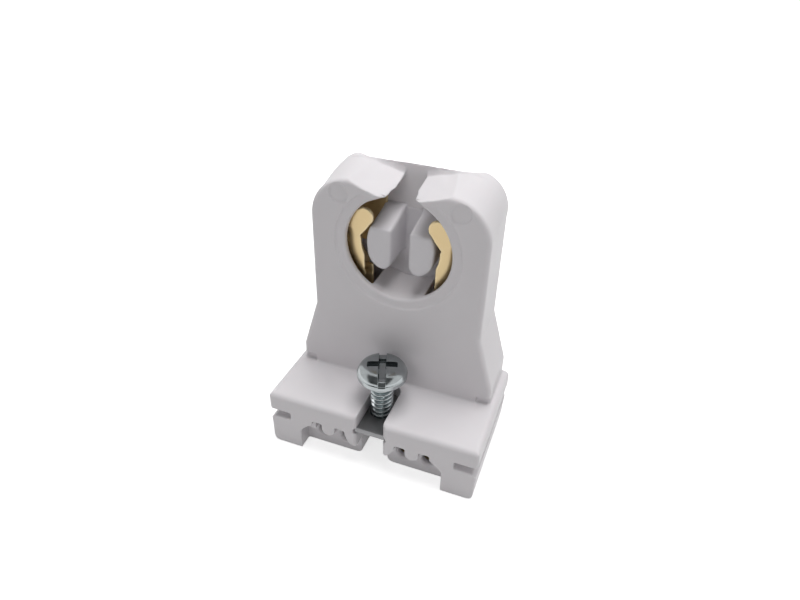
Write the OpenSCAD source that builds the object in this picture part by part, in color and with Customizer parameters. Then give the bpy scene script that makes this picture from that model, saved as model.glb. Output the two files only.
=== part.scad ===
// Lamp holder for the two-pin cap of a fluorescent tube, turn type, on a pedestal base.
// Millimetres. X runs across the holder, Y from its front to its back, Z up.
// The origin is on the surface that the feet stand on, below the middle of the base.

/* [Base] */
// Width of the base across both feet
base_w = 33; // [31:0.5:36]
// Depth of the base from front to back
base_d = 19; // [18.5:0.5:21]
// Height of the base from the feet to its top face
base_h = 9.6; // [9.2:0.1:10.6]
// Width of each foot at the front
foot_w = 5.2; // [4.6:0.1:5.6]
// Radius of the base's upper edges
base_edge_r = 0.8; // [0.4:0.1:1.2]

/* [Side grooves] */
// Height of the groove's floor above the feet
groove_z = 5.5; // [5:0.1:5.8]
// Height of the groove that takes the edge of the fixture's sheet
groove_h = 1.3; // [0.9:0.1:1.6]
// Depth of the groove from the side of the base
groove_depth = 3.5; // [2.5:0.1:3.7]

/* [Wire recesses] */
// Depth of the recess under the front edge
recess_d = 2.4; // [2:0.1:2.8]
// Thickness of the front lip
lip_t = 1.2; // [0.9:0.1:1.4]
// Height of the recess's roof above the feet
recess_h = 6.2; // [5.9:0.1:6.4]
// Distance from the middle to the centre of each lip's tooth
tooth_x = 6.65; // [6.5:0.05:6.8]
// Radius of the tooth's round end
tooth_r = 1.05; // [0.9:0.05:1.2]
// Height of the tooth's lowest point above the feet
tooth_z = 4.35; // [4.1:0.05:4.7]
// Diameter of each hole for a stripped wire
wire_hole_d = 1.9; // [1.6:0.1:2.1]

/* [Lamp side] */
// Width of the upright at its waist
waist_w = 25.7; // [25:0.1:27]
// Width of the upright where it flares out over the base
flare_w = 30.7; // [29:0.1:31]
// Height of the top of the flare's upright side
flare_z = 12.5; // [11.8:0.1:14]
// Height of the waist
waist_z = 20.9; // [19:0.1:23]
// Overall height of the holder
overall_h = 42.5; // [42:0.1:44]
// Radius of the shoulders
shoulder_r = 6; // [5:0.1:7]
// Radius of the edge round the face
face_edge_r = 0.6; // [0.3:0.1:0.9]
// Height of the lamp's axis above the feet
lamp_z = 32.55; // [32:0.05:33]
// Distance of the lamp's two pins from each other
pin_pitch = 12.7; // [12.6:0.05:12.8]
// Diameter of a lamp pin
pin_d = 2.35; // [2.3:0.01:2.4]
// Radius of the round opening
opening_r = 7.75; // [7.7:0.01:7.85]
// Thickness of the wall round the opening
front_wall_t = 1.15; // [1:0.05:1.3]
// Clear width between the two islands
island_gap = 2.52; // [2.45:0.01:2.7]
// Width of the slot that the pins enter by
throat_w = 3.2; // [3:0.05:3.6]

/* [Rear cover] */
// Thickness of the rear cover
cover_t = 1.85; // [1.6:0.05:1.9]
// Width of the housing's rim round the cover
rim_w = 1.5; // [1.2:0.1:1.8]

/* [Contacts] */
// Thickness of the brass strip
strip_t = 0.5; // [0.4:0.05:0.6]
// Outer radius of the roll between the contact's front and its outer wall
bend_r = 2.2; // [1.6:0.1:2.4]
// Radius of the rounded head that the pin snaps past
contact_head_r = 1.35; // [1.2:0.05:1.4]

/* [Screw and nut plate] */
// Distance of the screw's axis behind the front of the base
screw_set = 5.2; // [5:0.1:5.6]
// Outside diameter of the screw's thread
screw_d = 3.45; // [3.3:0.05:3.5]
// Length of the screw below its head
screw_len = 9.5; // [9.2:0.1:9.8]
// Diameter of the screw's head
screw_head_d = 7.4; // [7:0.1:7.6]
// Height of the screw's head
screw_head_h = 2.3; // [2:0.1:2.5]
// Gap between the screw's head and the face of the upright
head_gap = 0.9; // [0.6:0.1:1.4]
// How far the screw stands backed out, from the base's top to its head
screw_out = 4.6; // [3.6:0.1:4.6]
// Width of the slot that the screw passes through
slot_w = 4.15; // [4:0.05:4.3]
// Thickness of the nut plate
plate_t = 1; // [0.8:0.1:1.1]
// Depth of the nut plate's underside below the base's top
plate_deep = 3.5; // [3.4:0.1:3.7]
// Length of the nut plate
plate_len = 9.4; // [8.6:0.1:9.6]
// Depth of the groove that holds each side of the nut plate
plate_grip = 0.5; // [0.35:0.05:0.6]

/* [Hidden] */

$fn = 64;
eps = 0.01;
// Gap between pieces that slide or drop into each other
fit = 0.1;
// Gap between the screw and the plate that it turns in
thread_gap = 0.05;

front_y = -base_d / 2;
back_y = base_d / 2;
screw_y = front_y + screw_set;
face_y = screw_y + screw_head_d / 2 + head_gap;
stone_t = back_y - face_y;
cover_y = back_y - cover_t;
wall_back_y = face_y + front_wall_t;

// The islands stay inside the ring that the lamp's pins travel in
pin_gap = 0.15;
island_r = pin_pitch / 2 - pin_d / 2 - pin_gap;
island_top = 2.4;
island_low = -4.15;
// Chamfer at the lower corner beside the slot
island_chamfer = 0.95;
island_edge_r = 0.3;

// The upright's top falls a little towards the face
top_drop = 0.8;
// Height of the V's bottom and its half width, at the face and at the rear wall
lug_tip_front = overall_h - 3.15;
lug_tip_back = overall_h - 2.45;
lug_reach_front = 7.2;
lug_reach_back = 6.6;
// How far the middle of the top edge dips below the shoulders
top_dip = 0.7;
// Number of outline points on each shoulder that lie above the dip
top_fan = 6;

// Faint step round the opening and the moulding's round marks, all of one depth
mark_depth = 0.1;
step_w = 1.45;
mark_r = 1.4;
mark_at = [8.5, overall_h - 2.9];

// The cover ends level with the islands
cover_top = lamp_z + island_top + fit;
// Round marks on the cover's back, as distance from the middle and height
back_marks = [[5.5, lamp_z - 2.5], [8, flare_z - 3]];

// Contact pockets, measured from the lamp's axis
pocket_r = 9.3;
pocket_in = 4;
strip_r = pocket_r - fit;
tail_x = 9;
contact_y = wall_back_y + fit;
contact_head_at = [5.3, 3.65];
// Gap between the back of the contact and the rear cover
contact_back_gap = 0.7;
strip_w = cover_y - contact_y - contact_back_gap;
// Box that the contact's outer wall stays in, measured from the lamp's axis
wall_from = [5.4, -6];
wall_high = 4.3;

// Terminal chambers in the base
chamber_in = 3.6;
chamber_out = 10.4;
chamber_z = 0.9;
chamber_front = front_y + recess_d + 1.2;
wire_z = 2.6;
wire_x = [4.7, 8.55];
roof_t = 1.4;

// Inner side of each foot, and the block left standing beside the screw slot
foot_x = base_w / 2 - foot_w;
block_x = slot_w / 2 - 0.1;
block_top_x = 3.9;
block_z = 3.6;
// Outer end of the recess's roof
roof_x = foot_x - 1.95;

// Centre of the slot's round end
slot_end = screw_y + 2;
// Distance of the nut plate behind the front of the base
plate_set = 0.4;
head_z = base_h + screw_out;
head_rim_h = 1.35;
plate_z = base_h - plate_deep;
head_turn = 110;

// Points on an arc from angle a0 to angle a1, in n steps
function arc(c, r, a0, a1, n) =
    [for (i = [0:n]) let (a = a0 + (a1 - a0) * i / n) [c[0] + r * cos(a), c[1] + r * sin(a)]];
function mirrored(pts) = [for (i = [len(pts) - 1:-1:0]) [-pts[i][0], pts[i][1]]];

// Right half of the upright's outline, drawn in by e and with its top lowered by drop
function stone_half(e, drop, foot) = concat(
    [[flare_w / 2 - e, foot], [flare_w / 2 - e, flare_z], [waist_w / 2 - e, waist_z]],
    arc([waist_w / 2 - shoulder_r, overall_h - shoulder_r - drop], shoulder_r - e, 0, 90, 14),
    [[0, overall_h - top_dip - drop - e]]);
function stone_outline(e, drop, foot) =
    let (half = stone_half(e, drop, foot))
    concat(half, [for (p = mirrored(half)) if (p[0] < 0) p]);

// Joins outlines of equally many points, each at its own depth y, into one solid.
// The outlines are symmetric about their middle point. Their ends are closed in level strips, and
// the topmost points on each side are joined to the middle, because the top edge dips there.
module loft_y(depths, outlines) {
    n = len(outlines[0]);
    mid = (n - 1) / 2;
    last = len(depths) - 1;
    fan = mid - top_fan;
    strips = concat(
        [for (i = [0:fan - 1]) [i, i + 1, n - 2 - i, n - 1 - i]], [[fan, mid, n - 1 - fan]],
        [for (i = [fan:mid - 2]) each [[i, i + 1, mid], [mid, n - 2 - i, n - 1 - i]]]);
    pts = [for (k = [0:last]) for (p = outlines[k]) [p[0], depths[k], p[1]]];
    sides = [for (k = [0:last - 1]) for (i = [0:n - 1]) let (j = (i + 1) % n)
             [k * n + j, k * n + i, (k + 1) * n + i, (k + 1) * n + j]];
    front = [for (s = strips) [for (i = [len(s) - 1:-1:0]) s[i]]];
    back = [for (s = strips) [for (i = s) last * n + i]];
    polyhedron(pts, concat(sides, front, back));
}

// Extrudes a drawing in X and Z from y0 to y1
module along_y(y0, y1) {
    translate([0, y1, 0]) rotate([90, 0, 0]) linear_extrude(y1 - y0) children();
}

// Does the same thing on both sides of the middle
module both_sides() {
    children();
    mirror([1, 0, 0]) children();
}

// Section of the base: a rounded top, grooves for the sheet and feet with a slight draft
module base_section() {
    half = base_w / 2;
    draft = 0.3;
    foot_r = 0.8;
    lead = 0.8;
    side = concat(
        arc([half - draft - foot_r, foot_r], foot_r, -90, 0, 6),
        [[half - 0.1, groove_z - lead], [half - lead, groove_z],
         [half - groove_depth, groove_z], [half - groove_depth, groove_z + groove_h],
         [half - 0.3, groove_z + groove_h], [half, groove_z + groove_h + 0.3]],
        arc([half - base_edge_r, base_h - base_edge_r], base_edge_r, 0, 90, 6));
    polygon(concat(side, mirrored(side)));
}

// What is cut away along a straight edge to round it, for a block in the quarter x > 0, y > 0
module edge_cut(r, length) {
    translate([0, 0, -eps]) linear_extrude(length + 2 * eps) difference() {
        translate([-1, -1]) square([r + 1, r + 1]);
        translate([r, r]) circle(r);
    }
}

module base_block() {
    difference() {
        along_y(front_y, back_y) base_section();
        // upper front edge
        translate([base_w / 2 + 1, front_y, base_h]) rotate([-90, 0, 90])
            edge_cut(base_edge_r, base_w + 2);
        // upright front corners
        both_sides() translate([-base_w / 2, front_y, 0]) edge_cut(0.5, base_h);
    }
}

// The upright: its outline carried from the rounded face to the back
module stone_block() {
    r = face_edge_r;
    back_r = 0.3;
    steps = 4;
    cuts = concat(
        [for (i = [0:steps]) let (a = 90 * i / steps) [face_y + r * (1 - cos(a)), r * (1 - sin(a))]],
        [[back_y - back_r, 0], [back_y, back_r]]);
    loft_y([for (c = cuts) c[0]],
           [for (c = cuts) stone_outline(c[1], top_drop * (back_y - c[0]) / stone_t, base_h)]);
}

// Cuts the tops of the two lugs to a V that falls towards the face and the middle
module lug_slopes() {
    rise = shoulder_r + 4;
    both_sides() hull() {
        along_y(face_y - 1, face_y) polygon([
            [-eps, lug_tip_front], [lug_reach_front, overall_h - top_drop], [lug_reach_front, overall_h + rise],
            [-eps, overall_h + rise]]);
        along_y(cover_y - eps, cover_y) polygon([
            [-eps, lug_tip_back], [lug_reach_back, overall_h], [lug_reach_back, overall_h + rise],
            [-eps, overall_h + rise]]);
    }
}

// Round opening with a soft lead-in, and the slot above it
module lamp_opening() {
    lead = 0.35;
    translate([0, 0, lamp_z]) rotate([90, 0, 0]) {
        translate([0, 0, -cover_y]) cylinder(r = opening_r, h = cover_y - face_y + 1);
        translate([0, 0, -face_y - lead]) cylinder(r1 = opening_r, r2 = opening_r + lead + eps, h = lead + eps);
    }
    translate([-throat_w / 2, face_y - 1, lamp_z + 5])
        cube([throat_w, cover_y - face_y + 1, overall_h]);
}

// Faint step round the opening and the two round marks
module face_marks() {
    translate([0, face_y + mark_depth, lamp_z]) rotate([90, 0, 0]) cylinder(r = opening_r + step_w, h = 1);
    both_sides() translate([mark_at[0], face_y + mark_depth, mark_at[1]]) rotate([90, 0, 0])
        cylinder(r = mark_r, h = 1);
}

// Space behind the face for one contact, down to its terminal in the base
module contact_pocket() {
    along_y(wall_back_y, cover_y) {
        intersection() {
            translate([0, lamp_z]) circle(pocket_r);
            translate([pocket_in, lamp_z - pocket_r]) square([pocket_r, 2 * pocket_r - 1.5]);
        }
        translate([pocket_in + 0.6, chamber_z]) square([tail_x + fit - pocket_in - 0.6, lamp_z - chamber_z]);
    }
    translate([chamber_in, chamber_front, chamber_z])
        cube([chamber_out - chamber_in, cover_y - chamber_front, base_h - roof_t - chamber_z]);
}

// Outline of the opening under one half of the front lip, with the tooth left standing
module lip_opening() {
    difference() {
        polygon([
            [block_x, -1], [foot_x, -1], [foot_x, block_z], [foot_x - 0.4, 4.2], [foot_x - 1.2, 4.9],
            [roof_x + 0.05, 5.4], [roof_x, recess_h], [block_top_x + 0.1, recess_h],
            [block_top_x, 5.3], [3.5, 4.5], [2.9, 3.8], [block_x, block_z - 0.2]]);
        hull() {
            translate([tooth_x, tooth_z + tooth_r]) circle(tooth_r);
            translate([tooth_x - tooth_r, recess_h]) square([2 * tooth_r, 1]);
        }
    }
}

// Recess under the front edge of one half, and the wire holes at its back
module wire_recess() {
    behind = recess_d - lip_t + eps;
    hole_len = chamber_front + 1 - front_y - recess_d;
    mouth = 0.3;
    along_y(front_y - 1, front_y + lip_t) lip_opening();
    translate([0, front_y + lip_t - eps, -1]) {
        translate([block_top_x, 0, 0]) cube([roof_x - block_top_x, behind, recess_h + 1]);
        translate([block_x, 0, 0]) cube([foot_x - block_x, behind, block_z + 1]);
    }
    for (x = wire_x) translate([x, chamber_front + 1, wire_z]) rotate([90, 0, 0]) {
        cylinder(d = wire_hole_d, h = hole_len + eps);
        translate([0, 0, hole_len - mouth])
            cylinder(d1 = wire_hole_d, d2 = wire_hole_d + 2 * mouth, h = mouth + eps);
    }
}

// Slot for the screw, open at the front and below, with grooves for the nut plate
module screw_slot() {
    corner_r = 0.7;
    bottom_r = 0.9;
    bottom_end = slot_end - 0.6;
    translate([0, slot_end, -1]) cylinder(d = slot_w, h = base_h + 2);
    translate([-slot_w / 2, front_y - 1, -1]) cube([slot_w, slot_end - front_y + 1, base_h + 2]);
    translate([-slot_w / 2 - plate_grip, front_y - 1, plate_z - fit / 2])
        cube([slot_w + 2 * plate_grip, 1 + plate_set + plate_len + fit, plate_t + fit]);
    // the walls are eased at the front corners and along the bottom
    both_sides() {
        translate([slot_w / 2, front_y, -1]) edge_cut(corner_r, base_h + 2);
        translate([slot_w / 2, bottom_end, 0]) rotate([90, 0, 0]) edge_cut(bottom_r, bottom_end - front_y);
    }
}

// Notches at the two lower corners of the face
module corner_notches() {
    notch = [2.1, 0.5, 1.2];
    both_sides() translate([flare_w / 2 - notch[0], face_y - 1, base_h])
        cube([notch[0] + 1, 1 + notch[1], notch[2]]);
}

// Opening in the back that the rear cover closes
module cover_outline(gap) {
    foot_half = base_w / 2 - groove_depth - rim_w - gap;
    intersection() {
        polygon(stone_outline(rim_w + gap, 0, base_h + rim_w + gap));
        translate([-base_w / 2, 0]) square([base_w, cover_top - gap]);
    }
    translate([-foot_half, chamber_z + gap]) square([2 * foot_half, base_h + 2 * rim_w - chamber_z]);
}

module housing() {
    color([0.88, 0.87, 0.88]) difference() {
        union() {
            base_block();
            stone_block();
        }
        lug_slopes();
        lamp_opening();
        face_marks();
        both_sides() contact_pocket();
        both_sides() wire_recess();
        screw_slot();
        corner_notches();
        along_y(cover_y, back_y + 1) cover_outline(0);
    }
}

// One of the two islands that steer the pins, as a drawing on the lamp's axis
module island_outline() {
    inner = island_gap / 2;
    intersection() {
        circle(island_r);
        polygon([
            [inner, island_low + island_chamfer], [inner + island_chamfer, island_low],
            [island_r + 1, island_low], [island_r + 1, island_top], [inner, island_top]]);
    }
}

module rear_cover() {
    color([0.8, 0.79, 0.81]) {
        difference() {
            along_y(cover_y, back_y) cover_outline(fit);
            both_sides() for (at = back_marks) translate([at[0], back_y + 1, at[1]]) rotate([90, 0, 0])
                cylinder(r = mark_r, h = 1 + mark_depth);
        }
        translate([0, 0, lamp_z]) both_sides() difference() {
            along_y(wall_back_y, cover_y + eps) island_outline();
            translate([island_gap / 2, wall_back_y, -lamp_z]) edge_cut(island_edge_r, 2 * lamp_z);
        }
    }
}

// Flat front of the right contact: the head that the pin snaps past, the notch
// that it rests in and the long cheek below, drawn on the lamp's axis
module contact_front() {
    cheek_x = 5.3;
    cheek_low = -6.2;
    notch = [5.55, 0.55];
    notch_r = 0.35;
    head_back = [1.6, -0.8];
    difference() {
        union() {
            intersection() {
                circle(strip_r - bend_r + eps);
                difference() {
                    translate([cheek_x, cheek_low]) square([strip_r, contact_head_at[1] + 0.6 - cheek_low]);
                    circle(island_r + 0.75);
                }
            }
            intersection() {
                circle(strip_r - strip_t);
                hull() {
                    translate(contact_head_at) circle(contact_head_r);
                    translate(contact_head_at + head_back) circle(contact_head_r);
                }
            }
        }
        translate(notch) circle(notch_r);
    }
}

// Section of the contact's outer wall and its roll, as radius and height
module rolled_wall() {
    translate([strip_r - bend_r, 0]) intersection() {
        difference() {
            circle(bend_r);
            circle(bend_r - strip_t);
        }
        square(bend_r);
    }
    translate([strip_r - strip_t, bend_r - strip_w]) square([strip_t, strip_w - bend_r + eps]);
}

module contact_right() {
    foot_z = chamber_z + fit;
    foot_in = chamber_in + fit;
    color([0.84, 0.7, 0.42]) {
        translate([0, 0, lamp_z]) {
            along_y(contact_y, contact_y + strip_t) contact_front();
            // outer wall, rolled back from the flat front
            intersection() {
                translate([0, contact_y + bend_r, 0]) rotate([90, 0, 0]) rotate_extrude() rolled_wall();
                translate([wall_from[0], contact_y - 1, wall_from[1]])
                    cube([strip_r, strip_w + 2, wall_high - wall_from[1]]);
            }
        }
        // tail down to the base
        translate([tail_x - strip_t, contact_y, foot_z]) cube([strip_t, strip_w, lamp_z - foot_z]);
        // foot along the floor of the terminal chamber
        translate([foot_in, chamber_front + fit, foot_z])
            cube([tail_x - foot_in, contact_y + strip_w - chamber_front - fit, strip_t]);
        // a leaf for each wire, bent up from the foot to grip it
        for (x = wire_x) wire_leaf(x, foot_z);
    }
}

// Sprung leaf that lets a wire in and holds it
module wire_leaf(x, z) {
    leaf_w = 2;
    along = 3.2;
    rise = wire_z - z - 0.1;
    translate([x - leaf_w / 2, 0, 0]) rotate([90, 0, 90]) linear_extrude(leaf_w) polygon([
        [chamber_front + 0.6, z + 0.1], [chamber_front + 0.6 + along, z + rise],
        [chamber_front + 0.9 + along, z + rise - 0.35], [chamber_front + 1.5, z + 0.1]]);
}

module contact_left() {
    mirror([1, 0, 0]) contact_right();
}

module nut_plate() {
    width = slot_w + 2 * plate_grip - fit;
    color([0.3, 0.3, 0.31]) difference() {
        translate([-width / 2, front_y + plate_set, plate_z]) cube([width, plate_len, plate_t]);
        translate([0, screw_y, plate_z - 1]) cylinder(d = screw_d + 2 * thread_gap, h = plate_t + 2);
    }
}

// Head of the screw: a low dome on a straight rim, with a cross and a slot in its top
module screw_head() {
    r = screw_head_d / 2;
    drive_w = 1.1;
    cross_len = 4.4;
    cross_depth = 1.5;
    slot_depth = 1.1;
    dome = screw_head_h - head_rim_h;
    dome_r = (r * r + dome * dome) / (2 * dome);
    sweep = asin(r / dome_r);
    difference() {
        rotate_extrude() polygon(concat(
            [[0, 0], [r - 0.2, 0], [r, 0.2]],
            [for (i = [0:8]) let (a = sweep * (1 - i / 8))
                [dome_r * sin(a), screw_head_h - dome_r + dome_r * cos(a)]]));
        for (a = [0, 90]) rotate([0, 0, a])
            translate([-cross_len / 2, -drive_w / 2, screw_head_h - cross_depth])
                cube([cross_len, drive_w, 2]);
        translate([-r - 1, -drive_w / 2, screw_head_h - slot_depth]) cube([2 * r + 2, drive_w, 2]);
    }
}

module mounting_screw() {
    tip = 0.5;
    color([0.72, 0.75, 0.76]) translate([0, screw_y, head_z]) {
        rotate([0, 0, head_turn]) screw_head();
        translate([0, 0, -screw_len + tip]) cylinder(d = screw_d, h = screw_len - tip + eps);
        translate([0, 0, -screw_len]) cylinder(d1 = screw_d - 0.9, d2 = screw_d, h = tip + eps);
    }
}

housing();
rear_cover();
contact_left();
contact_right();
nut_plate();
mounting_screw();
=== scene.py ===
import math

import bmesh
import bpy
import numpy as np
from mathutils import Matrix, Vector


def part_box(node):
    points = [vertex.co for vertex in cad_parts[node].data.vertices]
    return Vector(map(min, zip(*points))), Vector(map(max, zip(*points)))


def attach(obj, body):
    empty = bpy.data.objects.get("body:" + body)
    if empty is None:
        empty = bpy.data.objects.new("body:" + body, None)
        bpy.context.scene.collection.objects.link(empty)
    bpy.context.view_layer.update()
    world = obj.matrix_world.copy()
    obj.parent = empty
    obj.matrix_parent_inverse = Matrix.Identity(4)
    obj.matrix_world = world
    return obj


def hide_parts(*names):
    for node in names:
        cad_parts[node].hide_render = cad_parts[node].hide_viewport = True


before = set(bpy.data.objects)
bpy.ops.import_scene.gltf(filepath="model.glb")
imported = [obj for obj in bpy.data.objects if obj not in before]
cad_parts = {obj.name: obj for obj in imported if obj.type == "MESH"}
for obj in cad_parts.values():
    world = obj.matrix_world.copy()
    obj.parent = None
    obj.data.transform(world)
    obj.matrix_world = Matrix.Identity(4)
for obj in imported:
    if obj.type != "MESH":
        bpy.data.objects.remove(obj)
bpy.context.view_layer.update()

# ---------------------------------------------------------------- housing
# The holder's body is one injection moulding of white thermoset-like polyester. Its corners come out of
# the tool slightly soft, its faces carry a very fine grain, and light enters it a little way.

MM = 0.001
LAMP_Z = 32.55  # height of the lamp's axis, in mm
FACE_Y = 0.3  # depth of the upright's face, in mm
WALL_Y = 7.65  # depth of the wall behind the V, in mm
TOP_Z = 42.46  # the highest point, in mm


def merged_copy(node, name):
    """A welded copy of a CAD node's mesh, as an object of its own."""
    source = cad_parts[node]
    mesh = source.data.copy()
    mesh.name = name
    mesh.transform(source.matrix_world)
    work = bmesh.new()
    work.from_mesh(mesh)
    bmesh.ops.remove_doubles(work, verts=work.verts, dist=1e-6)
    work.to_mesh(mesh)
    work.free()
    mesh.materials.clear()
    made = bpy.data.objects.new(name, mesh)
    bpy.context.scene.collection.objects.link(made)
    return made


def evaluated(obj):
    """Applies all of an object's modifiers and takes them off it."""
    seen = obj.evaluated_get(bpy.context.evaluated_depsgraph_get())
    mesh = bpy.data.meshes.new_from_object(seen)
    obj.modifiers.clear()
    old = obj.data
    obj.data = mesh
    bpy.data.meshes.remove(old)
    return obj


def with_slab(obj, outline, y0, y1):
    """Joins an upright slab to a copy: an outline in X and Z from one depth to another, in millimetres."""
    work = bmesh.new()
    sheet = [work.verts.new((x * MM, y0 * MM, z * MM)) for x, z in outline]
    raised = bmesh.ops.extrude_face_region(work, geom=[work.faces.new(sheet)])["geom"]
    far = [v for v in raised if isinstance(v, bmesh.types.BMVert)]
    bmesh.ops.translate(work, verts=far, vec=(0, (y1 - y0) * MM, 0))
    bmesh.ops.recalc_face_normals(work, faces=work.faces)
    slab = bpy.data.objects.new("slab", bpy.data.meshes.new("slab"))
    work.to_mesh(slab.data)
    work.free()
    bpy.context.scene.collection.objects.link(slab)
    join = obj.modifiers.new("join", "BOOLEAN")
    join.operation = "UNION"
    join.solver = "EXACT"
    join.object = slab
    evaluated(obj)
    bpy.data.objects.remove(slab)


def softened(obj, voxel, passes, most, reshape=None):
    """Rebuilds a sharp solid with the soft edges that a mould or a press leaves."""
    grid = obj.modifiers.new("grid", "REMESH")
    grid.mode = "VOXEL"
    grid.voxel_size = voxel
    grid.use_smooth_shade = True
    ease = obj.modifiers.new("ease", "SMOOTH")
    ease.factor = 0.5
    ease.iterations = passes
    evaluated(obj)
    if reshape:
        points = np.empty(3 * len(obj.data.vertices))
        obj.data.vertices.foreach_get("co", points)
        obj.data.vertices.foreach_set("co", reshape(points.reshape(-1, 3)).ravel())
    faces = sum(len(p.vertices) - 2 for p in obj.data.polygons)
    if faces > most:
        thin = obj.modifiers.new("thin", "DECIMATE")
        thin.ratio = most / faces
        evaluated(obj)
    obj.data.polygons.foreach_set("use_smooth", [True] * len(obj.data.polygons))
    return obj


def new_group(name, inputs, outputs):
    """An empty shader node group with its inputs (name, type, value) and outputs (name, type)."""
    tree = bpy.data.node_groups.new(name, "ShaderNodeTree")
    for label, kind, value in inputs:
        socket = tree.interface.new_socket(label, in_out="INPUT", socket_type=kind)
        socket.default_value = value
    for label, kind in outputs:
        tree.interface.new_socket(label, in_out="OUTPUT", socket_type=kind)
    return tree, tree.nodes.new("NodeGroupInput"), tree.nodes.new("NodeGroupOutput")


def add(tree, kind, **values):
    """Adds a node; socket values are given by name with spaces as underscores."""
    node = tree.nodes.new(kind)
    for key, value in values.items():
        if hasattr(node, key):
            setattr(node, key, value)
        else:
            node.inputs[key.replace("_", " ")].default_value = value
    return node


def maths(tree, operation, a, b=None):
    """One Math node; a and b are sockets or numbers."""
    node = tree.nodes.new("ShaderNodeMath")
    node.operation = operation
    for slot, value in enumerate([a] if b is None else [a, b]):
        if isinstance(value, (int, float)):
            node.inputs[slot].default_value = value
        else:
            tree.links.new(value, node.inputs[slot])
    return node.outputs[0]


def blended(tree, factor, low, high):
    """Mixes two colours by a factor."""
    node = tree.nodes.new("ShaderNodeMix")
    node.data_type = "RGBA"
    tree.links.new(factor, node.inputs[0])
    for slot, value in ((6, low), (7, high)):
        if isinstance(value, tuple):
            node.inputs[slot].default_value = value
        else:
            tree.links.new(value, node.inputs[slot])
    return node.outputs[2]


# Fine uneven surface: a cloudy tone, a grain height and a shift of roughness, all from noise
surface_group, given, result = new_group(
    "surface_grain",
    [("Tone Scale", "NodeSocketFloat", 100.0), ("Grain Scale", "NodeSocketFloat", 3000.0),
     ("Roughness", "NodeSocketFloat", 0.4), ("Roughness Spread", "NodeSocketFloat", 0.1),
     ("Stretch", "NodeSocketVector", (1.0, 1.0, 1.0))],
    [("Tone", "NodeSocketFloat"), ("Height", "NodeSocketFloat"), ("Roughness", "NodeSocketFloat")])
place = add(surface_group, "ShaderNodeTexCoord")
stretched = add(surface_group, "ShaderNodeVectorMath", operation="MULTIPLY")
surface_group.links.new(place.outputs["Object"], stretched.inputs[0])
surface_group.links.new(given.outputs["Stretch"], stretched.inputs[1])
clouds = add(surface_group, "ShaderNodeTexNoise", Detail=4.0, Roughness=0.6)
grain = add(surface_group, "ShaderNodeTexNoise", Detail=3.0, Roughness=0.55)
for noise, scale in ((clouds, "Tone Scale"), (grain, "Grain Scale")):
    surface_group.links.new(stretched.outputs[0], noise.inputs["Vector"])
    surface_group.links.new(given.outputs[scale], noise.inputs["Scale"])
surface_group.links.new(clouds.outputs["Fac"], result.inputs["Tone"])
surface_group.links.new(grain.outputs["Fac"], result.inputs["Height"])
spread = maths(surface_group, "MULTIPLY", maths(surface_group, "SUBTRACT", clouds.outputs["Fac"], 0.5),
               given.outputs["Roughness Spread"])
surface_group.links.new(maths(surface_group, "ADD", spread, given.outputs["Roughness"]),
                        result.inputs["Roughness"])

# Edges and hollows: bright where a surface is convex, dark where it is concave
edge_group, given, result = new_group(
    "edges_and_hollows",
    [("Width", "NodeSocketFloat", 0.05)],
    [("Edge", "NodeSocketFloat"), ("Hollow", "NodeSocketFloat")])
shape = add(edge_group, "ShaderNodeNewGeometry")
away = maths(edge_group, "SUBTRACT", shape.outputs["Pointiness"], 0.5)
ratio = maths(edge_group, "DIVIDE", away, given.outputs["Width"])
for sign, label in ((1.0, "Edge"), (-1.0, "Hollow")):
    side = maths(edge_group, "MULTIPLY", ratio, sign)
    edge_group.links.new(maths(edge_group, "MINIMUM", maths(edge_group, "MAXIMUM", side, 0.0), 1.0),
                         result.inputs[label])


def finish_of(name, low, high, tone, grain, roughness, spread, bump, metallic=0.0, stretch=(1, 1, 1),
              edge=None, hollow=None, edge_width=0.05, lift=1e-5):
    """A material from two close tones, a grain, and colours for worn edges and for hollows; on the zinc the
    edge colour is a painted highlight and the hollow colour is painted shade.
    """
    made = bpy.data.materials.new(name)
    made.use_nodes = True
    tree = made.node_tree
    shader = tree.nodes["Principled BSDF"]
    shader.inputs["Metallic"].default_value = metallic
    face = add(tree, "ShaderNodeGroup", node_tree=surface_group)
    face.inputs["Tone Scale"].default_value = tone
    face.inputs["Grain Scale"].default_value = grain
    face.inputs["Roughness"].default_value = roughness
    face.inputs["Roughness Spread"].default_value = spread
    face.inputs["Stretch"].default_value = stretch
    colour = blended(tree, face.outputs["Tone"], low, high)
    if edge or hollow:
        marks = add(tree, "ShaderNodeGroup", node_tree=edge_group)
        marks.inputs["Width"].default_value = edge_width
        if edge:
            colour = blended(tree, marks.outputs["Edge"], colour, edge)
        if hollow:
            colour = blended(tree, marks.outputs["Hollow"], colour, hollow)
    tree.links.new(colour, shader.inputs["Base Color"])
    tree.links.new(face.outputs["Roughness"], shader.inputs["Roughness"])
    relief = add(tree, "ShaderNodeBump", Strength=bump, Distance=lift)
    tree.links.new(face.outputs["Height"], relief.inputs["Height"])
    tree.links.new(relief.outputs["Normal"], shader.inputs["Normal"])
    return made


white_moulding = finish_of(
    "white_moulding", (0.735, 0.71, 0.73, 1), (0.79, 0.765, 0.785, 1), 140, 2600, 0.42, 0.16, 0.25)
shader = white_moulding.node_tree.nodes["Principled BSDF"]
shader.inputs["Subsurface Weight"].default_value = 0.12
shader.inputs["Subsurface Radius"].default_value = (1.0, 0.8, 0.8)
shader.inputs["Subsurface Scale"].default_value = 0.0006


def ramp(value, low, high):
    """Rises smoothly from 0 at low to 1 at high."""
    part = np.clip((value - low) / (high - low), 0, 1)
    return part * part * (3 - 2 * part)


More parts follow.
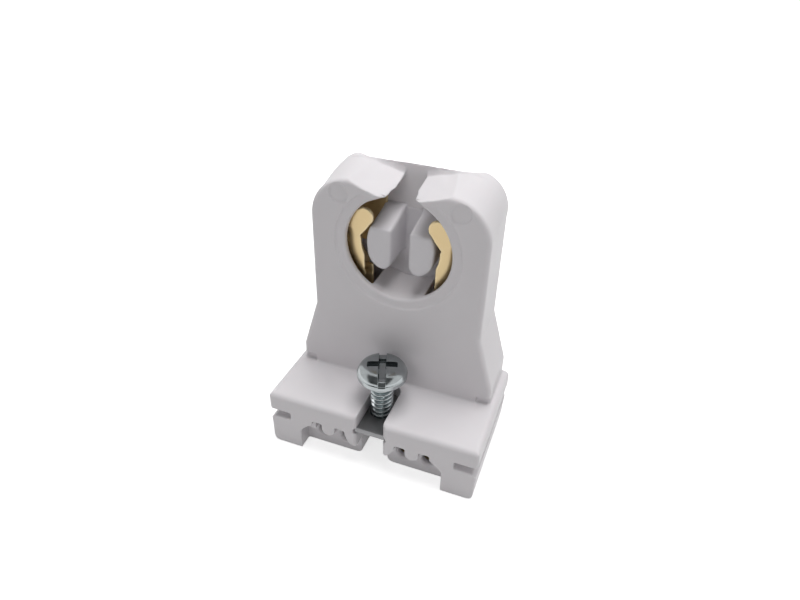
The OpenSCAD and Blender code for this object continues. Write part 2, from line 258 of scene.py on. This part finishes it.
def housing_forms(points):
    """Gives the moulding what the plain solid lacks: the bevelled wall behind the V, fuller shoulders, blunt
    tips on the lugs, clearer tool marks and deeper recesses behind the lips."""
    x, y, z = points.T / MM
    wide = np.abs(x)
    shoulder_x, shoulder_z = 6.85, 36.5
    # the wall behind the V has a straight front edge and falls off behind it
    beyond = np.maximum(wide - shoulder_x, 0)
    arc = 36.34 + np.sqrt(np.maximum(36 - beyond ** 2, 0))
    top = np.where(wide < shoulder_x, 41.64 + 0.102 * wide, arc) + 0.087 * (y - WALL_Y)
    wanted = 42.45 - 0.68 * np.maximum(y - 7.75, 0)
    up = ramp(y, 7.2, 7.6) * ramp(-wide, -10, -6.6) * ramp(z, 38.2, 41.8) * (wanted - top)
    # the V's faces rise to the wall, and the left lug's tip hangs a little lower
    tilt = np.clip((y - FACE_Y) / (WALL_Y - FACE_Y), 0, 1)
    flank = np.clip((7 - wide) / 5.4, 0, 1) * ramp(z, 38.6, 39.8) * (1 - ramp(y, 7.66, 7.9))
    up += flank * (0.45 * tilt - 0.35 * (1 - tilt) * (x < 0)) * (1 - ramp(z, 41.3, 41.9))
    # the side grooves sit slightly lower at their mouths
    up -= 0.25 * ramp(wide, 12.7, 12.9) * ramp(z, 4.4, 5.2) * ramp(-z, -7.6, -7.1)
    # the shoulders are fuller towards the back
    turn = np.arctan2(beyond, np.maximum(z - shoulder_z, 1e-6))
    from_shoulder = np.hypot(wide - shoulder_x, z - shoulder_z)
    out = 0.45 * np.sin(2 * turn) * ramp(y, 0.8, 7.5) * (z > shoulder_z) * ramp(from_shoulder, 3, 5)
    # rounded tips beside the slot, marks left by the tool, and the deep recesses
    from_axis = np.hypot(x, z - LAMP_Z)
    face = ramp(-y, -1.3, -0.9)
    back = 0.7 * face * ramp(-from_axis, -8.9, -7.6) * ramp(-wide, -3.8, -1.8) * (z > 36)
    back += 0.13 * face * ramp(-from_axis, -9.3, -9.15) * (z < 40)
    back += 0.13 * face * ramp(-np.hypot(wide - 8.5, z - 39.6), -1.5, -1.35)
    behind_lips = ramp(y, -7.5, -7.2) * ramp(-y, -6.4, -6.0)
    recess = ramp(wide, 3.6, 4.0) * ramp(-wide, -9.6, -9.2) * ramp(z, 3.7, 4.1) * (z < 6.1)
    back += 1.3 * behind_lips * recess
    moved = points.copy()
    moved[:, 0] += MM * out * np.sin(turn) * np.sign(x)
    moved[:, 1] += MM * back
    moved[:, 2] += MM * (up + out * np.cos(turn))
    moved[:, 2] = np.minimum(moved[:, 2], TOP_Z * MM)
    return moved


housing = softened(merged_copy("housing", "moulded_housing"), 0.15 * MM, 2, 195000, housing_forms)
housing.data.materials.append(white_moulding)
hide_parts("housing")
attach(housing, "holder")

# ---------------------------------------------------------------- rear cover
# A second, flatter moulding of the same plastic is snapped into the back. The two islands that steer
# the lamp's pins stand on it, and their inner sides lie in the shade of the opening.

# Its tones are a little darker than the housing's although the plastic is the same, which is painted shade
# for the parts that sit inside the opening.
inner_moulding = finish_of(
    "inner_moulding", (0.72, 0.70, 0.725, 1), (0.78, 0.76, 0.785, 1), 160, 2600, 0.45, 0.14, 0.25)


def cover_forms(points):
    """Closes the fine seam above the islands, as the real covers fit without a gap there, and lets the
    islands' tops rise towards the back."""
    x, y, z = points.T / MM
    moved = points.copy()
    moved[:, 2] += MM * 0.45 * ramp(z, 34.3, 34.9) * ramp(y, 7.4, 7.6)
    moved[:, 1] -= MM * 0.04 * ramp(z, 33.9, 34.5) * ramp(-y, -7.9, -7.7)
    moved[:, 2] += MM * 1.2 * np.clip((y - 1.9) / 5.4, 0, 1) * ramp(z, 32.8, 34.8) * ramp(-y, -7.8, -7.5)
    lower_outer = ramp(-y, -7.5, -7.2) * ramp(np.abs(x), 2, 4.2) * ramp(LAMP_Z - z, 0.6, 3.2)
    moved[:, 0] += MM * 0.4 * np.sign(x) * lower_outer
    return moved


cover = softened(merged_copy("rear_cover", "rear_cover_moulding"), 0.15 * MM, 3, 300000, cover_forms)
islands = cover.vertex_groups.new(name="islands")
islands.add([v.index for v in cover.data.vertices if v.co.y < 7.2 * MM], 1.0, "REPLACE")
ease = cover.modifiers.new("ease", "SMOOTH")
ease.vertex_group = "islands"
ease.factor = 0.5
ease.iterations = 60
thin = cover.modifiers.new("thin", "DECIMATE")
thin.ratio = 0.6
evaluated(cover)
cover.data.materials.append(inner_moulding)
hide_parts("rear_cover")
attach(cover, "holder")

# ---------------------------------------------------------------- contacts
# Each contact is stamped and folded from springy brass strip. The rolled strip shows fine lines along
# its length, its cut edges are brighter, and it has dulled a little where it is handled.

rolled_brass = finish_of(
    "rolled_brass", (0.58, 0.445, 0.235, 1), (0.70, 0.55, 0.32, 1), 260, 1400, 0.42, 0.2, 0.3,
    metallic=0.66, stretch=(1, 1, 0.16), edge=(0.86, 0.74, 0.48, 1), hollow=(0.30, 0.20, 0.08, 1),
    edge_width=0.1, lift=6e-6)


def rolled_front(points):
    """Rolls the outer part of the flat front back towards the contact's wall."""
    x, y, z = points.T / MM
    from_axis = np.hypot(x, z - LAMP_Z)
    depth = np.clip(1 - (y - 1.55) / 5.4, 0, 1) * ramp(y, 1.0, 1.5) * ramp(z, 26, 27)
    start = 6.3 + 1.1 * ramp(z - LAMP_Z, 0.3, 2.6)
    moved = points.copy()
    moved[:, 1] += MM * depth * np.minimum(0.17 * np.maximum(from_axis - start, 0) ** 2, 0.8)
    return moved


# outlines beside the lamp's axis, each with its front and back depth: the fill below the rounded head,
# the flange at the back, and the lower flange
slabs = (
    ([(3.97, 3.3), (4.12, 2.95), (4.5, 2.5), (4.95, 1.8), (5.6, 1.0), (6.4, 0.8), (6.9, 3.4)], 1.55, 2.05),
    ([(4.1, -3), (8.75, -3), (8.75, 1.8), (7.3, 5), (4.1, 5.6)], 7.28, 7.6),
    ([(4.75, -10), (8.75, -10), (8.75, -4.7), (4.75, -4.7)], 3.4, 3.9))
for side, hand in (("left", -1), ("right", 1)):
    contact = merged_copy("contact_" + side, "brass_contact_" + side)
    for outline, near, deep in slabs:
        with_slab(contact, [(hand * x, LAMP_Z + z) for x, z in outline], near, deep)
    softened(contact, 0.11 * MM, 2, 190000, rolled_front)
    contact.data.materials.append(rolled_brass)
    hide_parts("contact_" + side)
    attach(contact, "holder")

# ---------------------------------------------------------------- nut plate
# A punched steel plate with a tapped hole slides into grooves beside the screw slot. Its dark plating
# is blotchy, and it is rubbed bright on its edges.

dark_plate = finish_of(
    "dark_plated_steel", (0.175, 0.175, 0.18, 1), (0.30, 0.30, 0.305, 1), 420, 2200, 0.42, 0.3, 0.35,
    metallic=0.75, edge=(0.36, 0.36, 0.37, 1), edge_width=0.1, lift=8e-6)
plate = softened(merged_copy("nut_plate", "punched_nut_plate"), 0.08 * MM, 3, 150000)
plate.data.transform(Matrix.Translation((0, 0, 0.25 * MM)))
plate.data.materials.append(dark_plate)
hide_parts("nut_plate")
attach(plate, "holder")

# ---------------------------------------------------------------- mounting screw
# A zinc plated steel machine screw with a cold headed pan head, a cross recess joined to a driver slot,
# and a rolled thread with rounded crests and roots that runs out below the head.

# On the thread, the bright edge colour is a painted highlight on the crests, and the dark hollow colour is
# painted shade in the roots between them.
zinc = finish_of(
    "zinc_plate", (0.19, 0.225, 0.235, 1), (0.38, 0.42, 0.43, 1), 700, 2600, 0.22, 0.2, 0.3,
    metallic=1.0, edge=(0.88, 0.92, 0.93, 1), hollow=(0.04, 0.075, 0.08, 1), edge_width=0.1, lift=5e-6)
# The head's copy of the zinc is lighter than the thread's, which is painted light on the lit head, and its
# dark hollow colour is painted shade in the cross recess and the driver slot.
zinc_head = finish_of(
    "zinc_plate_head", (0.27, 0.29, 0.295, 1), (0.46, 0.49, 0.50, 1), 700, 2600, 0.22, 0.2, 0.3,
    metallic=1.0, hollow=(0.03, 0.06, 0.065, 1), edge_width=0.08, lift=5e-6)

screw_low, screw_high = (Vector(c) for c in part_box("mounting_screw"))
screw_at = (screw_low + screw_high) / 2
crest_r, root_r, pitch = 1.725 * MM, 1.27 * MM, 0.794 * MM
head_r, head_h, rim_h = 3.7, 2.3, 1.35  # in mm
head_base = screw_high.z - head_h * MM
thread_low, thread_high = screw_low.z, head_base + 0.05 * MM

thread = bpy.data.node_groups.new("rolled_thread", "GeometryNodeTree")
thread.interface.new_socket("Geometry", in_out="OUTPUT", socket_type="NodeSocketGeometry")
sockets = {}
for label, kind, value in (
        ("Crest Radius", "NodeSocketFloat", crest_r), ("Root Radius", "NodeSocketFloat", root_r),
        ("Pitch", "NodeSocketFloat", pitch), ("Length", "NodeSocketFloat", thread_high - thread_low),
        ("Run Out", "NodeSocketFloat", 0.9 * MM), ("Around", "NodeSocketInt", 56),
        ("Rows", "NodeSocketInt", 168), ("Finish", "NodeSocketMaterial", None)):
    sockets[label] = thread.interface.new_socket(label, in_out="INPUT", socket_type=kind)
    if value is not None:
        sockets[label].default_value = value
entry, leave = thread.nodes.new("NodeGroupInput"), thread.nodes.new("NodeGroupOutput")
bar = add(thread, "GeometryNodeMeshCylinder", fill_type="NGON", Radius=1.0)
thread.links.new(entry.outputs["Around"], bar.inputs["Vertices"])
thread.links.new(entry.outputs["Rows"], bar.inputs["Side Segments"])
thread.links.new(entry.outputs["Length"], bar.inputs["Depth"])
where = add(thread, "GeometryNodeInputPosition")
parts = add(thread, "ShaderNodeSeparateXYZ")
thread.links.new(where.outputs[0], parts.inputs[0])
turn = maths(thread, "DIVIDE", maths(thread, "ARCTAN2", parts.outputs["Y"], parts.outputs["X"]), 2 * math.pi)
climb = maths(thread, "DIVIDE", parts.outputs["Z"], entry.outputs["Pitch"])
phase = maths(thread, "FRACT", maths(thread, "ADD", maths(thread, "SUBTRACT", climb, turn), 100.0))
saw = maths(thread, "ABSOLUTE", maths(thread, "SUBTRACT", maths(thread, "MULTIPLY", phase, 2.0), 1.0))
rounded = add(thread, "ShaderNodeMapRange", interpolation_type="SMOOTHSTEP")
rounded.inputs["From Min"].default_value = 0.12
rounded.inputs["From Max"].default_value = 0.88
thread.links.new(saw, rounded.inputs["Value"])
half = maths(thread, "MULTIPLY", entry.outputs["Length"], 0.5)
to_low = maths(thread, "DIVIDE", maths(thread, "ADD", parts.outputs["Z"], half), entry.outputs["Run Out"])
above = maths(thread, "SUBTRACT", half, parts.outputs["Z"])
to_high = maths(thread, "DIVIDE", above, entry.outputs["Run Out"])
full = maths(thread, "MINIMUM", maths(thread, "MINIMUM", to_low, to_high), 1.0)
ridge = maths(thread, "MULTIPLY", rounded.outputs[0], maths(thread, "MAXIMUM", full, 0.0))
depth = maths(thread, "SUBTRACT", entry.outputs["Crest Radius"], entry.outputs["Root Radius"])
radius = maths(thread, "ADD", entry.outputs["Root Radius"], maths(thread, "MULTIPLY", ridge, depth))
point = maths(thread, "MINIMUM", maths(thread, "ADD", maths(thread, "MULTIPLY", to_low, 2.0), 0.78), 1.0)
radius = maths(thread, "MULTIPLY", radius, point)
moved = thread.nodes.new("ShaderNodeCombineXYZ")
for axis in "XY":
    thread.links.new(maths(thread, "MULTIPLY", parts.outputs[axis], radius), moved.inputs[axis])
thread.links.new(parts.outputs["Z"], moved.inputs["Z"])
shaped = thread.nodes.new("GeometryNodeSetPosition")
thread.links.new(bar.outputs["Mesh"], shaped.inputs["Geometry"])
thread.links.new(moved.outputs[0], shaped.inputs["Position"])
real = thread.nodes.new("GeometryNodeRealizeInstances")
coated = thread.nodes.new("GeometryNodeSetMaterial")
thread.links.new(shaped.outputs[0], real.inputs[0])
thread.links.new(real.outputs[0], coated.inputs["Geometry"])
thread.links.new(entry.outputs["Finish"], coated.inputs["Material"])
thread.links.new(coated.outputs[0], leave.inputs[0])

shank = bpy.data.objects.new("screw_thread", bpy.data.meshes.new("screw_thread"))
bpy.context.scene.collection.objects.link(shank)
rolled = shank.modifiers.new("thread", "NODES")
rolled.node_group = thread
rolled[sockets["Finish"].identifier] = zinc
evaluated(shank)
shank.data.transform(Matrix.Translation((screw_at.x, screw_at.y, (thread_low + thread_high) / 2)))
shank.data.polygons.foreach_set("use_smooth", [len(p.vertices) < 5 for p in shank.data.polygons])

head = merged_copy("mounting_screw", "screw_head")
work = bmesh.new()
work.from_mesh(head.data)
cut = bmesh.ops.bisect_plane(work, geom=work.verts[:] + work.edges[:] + work.faces[:], dist=1e-7,
                             plane_co=(0, 0, head_base - 0.02 * MM), plane_no=(0, 0, 1), clear_inner=True)
rim = [e for e in cut["geom_cut"] if isinstance(e, bmesh.types.BMEdge)]
bmesh.ops.holes_fill(work, edges=rim, sides=0)
bmesh.ops.recalc_face_normals(work, faces=work.faces)
work.to_mesh(head.data)
work.free()


def rounded_head(points):
    """Gives the head one full round profile in place of the low dome on a straight rim."""
    from_axis = np.hypot(points[:, 0] - screw_at.x, points[:, 1] - screw_at.y)
    out = np.clip(from_axis / (head_r * MM), 0, 1)
    high = (points[:, 2] - head_base) / MM
    full = head_h * (1 - out ** 4) ** (1 / 3)
    plain = rim_h + (head_h - rim_h) * (1 - out ** 2)
    moved = points.copy()
    moved[:, 2] += MM * np.maximum(full - plain, -0.45) * ramp(high, 0.3, 1.2)
    return moved


softened(head, 0.055 * MM, 4, 150000, rounded_head)
head.data.materials.append(zinc_head)
for piece in (shank, head):
    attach(piece, "screw")
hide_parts("mounting_screw")

# ---------------------------------------------------------------- where it stands
# The holder stands on a pale table in a white room, below one broad soft lamp, with weaker lamps at the
# front and at one side. The camera looks down on it from the front, a little from the holder's right.


def seen_by(tree):
    """1 for the camera and for what gloss and glass show, 0 for light that falls on the object."""
    rays = tree.nodes.new("ShaderNodeLightPath")
    both = maths(tree, "MAXIMUM", rays.outputs["Is Camera Ray"], rays.outputs["Is Glossy Ray"])
    return maths(tree, "MAXIMUM", both, rays.outputs["Is Transmission Ray"])


paper = bpy.data.materials.new("white_paper")
paper.use_nodes = True
tree = paper.node_tree
shader = tree.nodes["Principled BSDF"]
shader.inputs["Base Color"].default_value = (0.68, 0.68, 0.68, 1)
shader.inputs["Roughness"].default_value = 0.9
shader.inputs["Specular IOR Level"].default_value = 0.1
seen = seen_by(tree)
spot = add(tree, "ShaderNodeTexCoord")
far = add(tree, "ShaderNodeVectorMath", operation="LENGTH")
tree.links.new(spot.outputs["Object"], far.inputs[0])
reach = add(tree, "ShaderNodeMapRange", interpolation_type="SMOOTHSTEP")
reach.inputs["From Min"].default_value = 0.03
reach.inputs["From Max"].default_value = 0.12
reach.inputs["To Min"].default_value = 0.68
reach.inputs["To Max"].default_value = 1.0
tree.links.new(far.outputs["Value"], reach.inputs["Value"])
shader.inputs["Emission Color"].default_value = (1, 1, 1, 1)
tree.links.new(maths(tree, "MULTIPLY", seen, reach.outputs[0]), shader.inputs["Emission Strength"])

bpy.ops.mesh.primitive_plane_add(size=6, location=(0, 0, 0))
floor = bpy.context.object
floor.name = "floor"
floor.data.materials.append(paper)

world = bpy.data.worlds.new("white_room")
bpy.context.scene.world = world
world.use_nodes = True
tree = world.node_tree
tree.nodes.clear()
seen = seen_by(tree)
soft = add(tree, "ShaderNodeBackground", Color=(1, 1, 1, 1), Strength=0.16)
white = add(tree, "ShaderNodeBackground", Color=(1, 1, 1, 1), Strength=1.0)
both = tree.nodes.new("ShaderNodeMixShader")
tree.links.new(seen, both.inputs[0])
tree.links.new(soft.outputs[0], both.inputs[1])
tree.links.new(white.outputs[0], both.inputs[2])
out = tree.nodes.new("ShaderNodeOutputWorld")
tree.links.new(both.outputs[0], out.inputs[0])


def lamp(name, at, aim, size, power):
    """A square soft lamp that faces a point."""
    light = bpy.data.lights.new(name, "AREA")
    light.shape = "SQUARE"
    light.size = size
    light.energy = power
    made = bpy.data.objects.new(name, light)
    made.location = at
    made.rotation_euler = (Vector(aim) - Vector(at)).to_track_quat("-Z", "Y").to_euler()
    made.visible_glossy = False
    bpy.context.scene.collection.objects.link(made)


lamp("top_light", (0.03, 0.04, 0.42), (0, 0, 0.015), 0.26, 1.38)
lamp("front_light", (-0.06, -0.36, 0.22), (0, 0, 0.02), 0.2, 0.2)
lamp("side_light", (0.40, 0.05, 0.2), (0, 0, 0.02), 0.22, 0.19)

# A grey card behind the camera, which only gloss shows
card_paint = bpy.data.materials.new("black_card")
card_paint.use_nodes = True
shader = card_paint.node_tree.nodes["Principled BSDF"]
shader.inputs["Base Color"].default_value = (0.30, 0.31, 0.31, 1)
shader.inputs["Roughness"].default_value = 0.9
bpy.ops.mesh.primitive_plane_add(size=0.9, location=(0.02, -0.3, 0.33), rotation=(math.radians(42), 0, 0))
card = bpy.context.object
card.name = "dark_card"
card.data.materials.append(card_paint)
for ray in ("camera", "diffuse", "shadow", "transmission", "volume_scatter"):
    setattr(card, "visible_" + ray, False)

view = bpy.data.cameras.new("view")
view.lens = 27.51
view.sensor_width = 36
view.clip_start = 0.001
camera = bpy.data.objects.new("view", view)
bpy.context.scene.collection.objects.link(camera)
right = Vector((0.94164, 0.33660, 0)) * 0.99954 + Vector((-0.18598, 0.52028, 0.83350)) * 0.03036
forward = Vector((-0.28056, 0.78486, -0.55252)).normalized()
right = (right - forward * right.dot(forward)).normalized()
up = right.cross(forward)
turned = Matrix((right, up, -forward)).transposed().to_4x4()
camera.matrix_world = Matrix.Translation((0.02515, -0.06795, 0.07296)) @ turned
bpy.context.scene.camera = camera
bpy.context.scene.view_settings.view_transform = "Standard"
